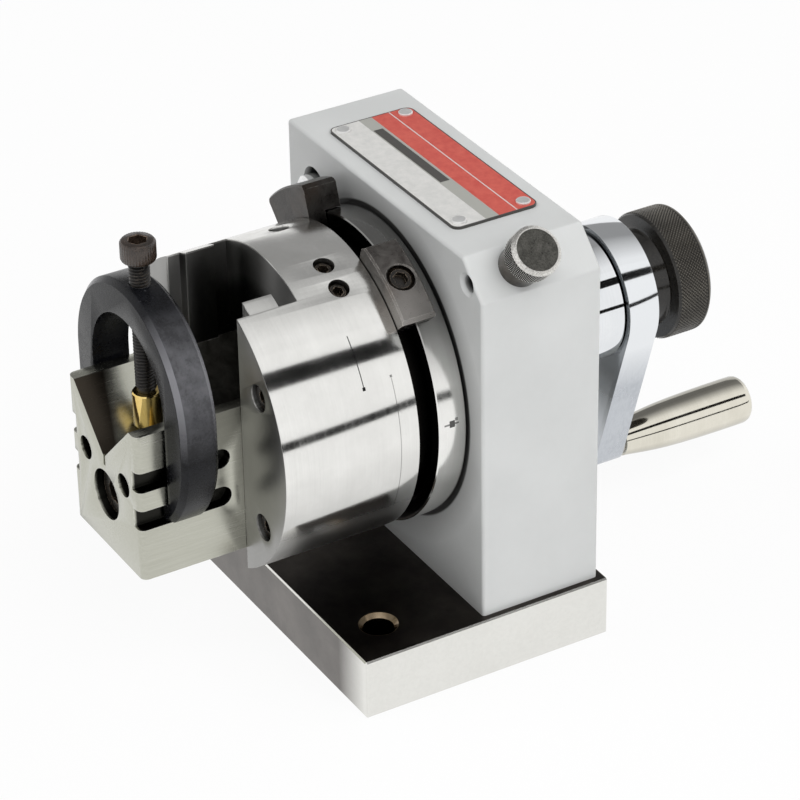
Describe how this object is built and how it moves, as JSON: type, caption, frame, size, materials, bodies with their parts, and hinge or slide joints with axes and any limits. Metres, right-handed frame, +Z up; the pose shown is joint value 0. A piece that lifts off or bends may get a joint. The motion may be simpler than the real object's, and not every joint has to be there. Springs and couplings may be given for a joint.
{
  "type": "punch former",
  "caption": "Bench punch former: V block with clamp yoke on a hand-cranked indexing spindle in a grey housing.",
  "frame": {"origin": "centre of the underside of the base plate", "axes": "+Z up; -Y towards the V block in front; +Y towards the crank; +X to the right seen from the front"},
  "size_m": [0.1175, 0.2155, 0.139],
  "materials": {
    "ground_steel": "ground",
    "housing_paint": "satin",
    "polished_steel": "polished",
    "hardened_steel": "satin",
    "dog_steel": "satin, mottled",
    "block_steel": "ground, nickel plated",
    "black_oxide": "matte black oxide",
    "black_nut": "gloss black",
    "chrome_plate": "polished",
    "nickel_plate": "bright nickel",
    "satin_steel": "satin",
    "brass": "turned",
    "spring_steel": "satin",
    "plate_print": "printed, satin",
    "rivet_metal": "bright"
  },
  "bodies": {
    "frame": {"base_plate": "ground_steel", "base_screws": "black_oxide", "housing": "housing_paint", "name_plate": "plate_print", "plate_rivets": "rivet_metal", "stop_pin": "chrome_plate", "front_bearing_outer": "hardened_steel", "rear_bearing_outer": "hardened_steel", "rear_sleeve": "chrome_plate", "sleeve_screws": "black_oxide", "plunger_bush": "nickel_plate", "bush_set_screw": "black_oxide", "plunger_spring": "spring_steel"},
    "plunger": {"plunger_pin": "hardened_steel", "plunger_knob": "black_oxide"},
    "spindle": {"spindle": "hardened_steel", "front_bearing_inner": "hardened_steel", "rear_bearing_inner": "hardened_steel", "index_key": "hardened_steel", "crank_key": "hardened_steel", "index_plate": "hardened_steel", "preload_nut": "black_oxide", "stop_ring": "polished_steel", "ring_screws": "black_oxide", "chuck_body": "polished_steel", "chuck_screws": "black_oxide", "chuck_set_screws": "black_oxide", "crank_arm": "satin_steel", "lock_washer": "polished_steel", "handle_stud": "hardened_steel", "handle_retainer": "black_oxide"},
    "right_dog": {"right_stop_dog": "dog_steel", "right_dog_screw": "black_oxide"},
    "left_dog": {"left_stop_dog": "dog_steel", "left_dog_screw": "black_oxide"},
    "carriage": {"carriage": "hardened_steel", "v_block": "block_steel", "v_block_screw": "black_oxide", "v_block_dowels": "hardened_steel", "carriage_lock_screws": "black_oxide"},
    "yoke": {"clamp_yoke": "black_oxide"},
    "tip": {"brass_tip": "brass"},
    "clamp_screw": {"clamp_screw": "black_oxide"},
    "nut": {"knurled_nut": "black_nut"},
    "handle": {"crank_handle": "nickel_plate"}
  },
  "joints": [
    {"name": "spindle_turn", "type": "hinge", "parent": "frame", "child": "spindle", "pos_m": [0, 0, 0.077], "axis": [0, 1, 0], "continuous": true},
    {"name": "plunger_in", "type": "slide", "parent": "frame", "child": "plunger", "axis": [-0.7071, 0, -0.7071], "range_m": [0, 0.0046]},
    {"name": "right_dog_turn", "type": "hinge", "parent": "spindle", "child": "right_dog", "pos_m": [0, 0, 0.077], "axis": [0, 1, 0], "range_deg": [-14, 125]},
    {"name": "left_dog_turn", "type": "hinge", "parent": "spindle", "child": "left_dog", "pos_m": [0, 0, 0.077], "axis": [0, 1, 0], "range_deg": [-125, 14]},
    {"name": "carriage_slide", "type": "slide", "parent": "spindle", "child": "carriage", "axis": [0, 0, 1], "range_m": [-0.008, 0.008]},
    {"name": "yoke_slide", "type": "slide", "parent": "carriage", "child": "yoke", "axis": [0, 1, 0], "range_m": [-0.0084, 0.005]},
    {"name": "tip_slide", "type": "slide", "parent": "yoke", "child": "tip", "axis": [0, 0, 1], "range_m": [-0.0018, 0.02]},
    {"name": "clamp_screw_turn", "type": "hinge", "parent": "tip", "child": "clamp_screw", "pos_m": [0, -0.07545, 0.1], "axis": [0, 0, 1], "range_deg": [-649, 7201]},
    {"name": "nut_turn", "type": "hinge", "parent": "spindle", "child": "nut", "pos_m": [0, 0.09, 0.077], "axis": [0, 1, 0], "continuous": true},
    {"name": "handle_spin", "type": "hinge", "parent": "spindle", "child": "handle", "pos_m": [-0.0017, 0.1, 0.0219], "axis": [0, 1, 0], "continuous": true}
  ],
  "couplings": [
    {"joint": "clamp_screw_turn", "follows": "tip_slide", "rad_per_m": 6283.2}
  ]
}
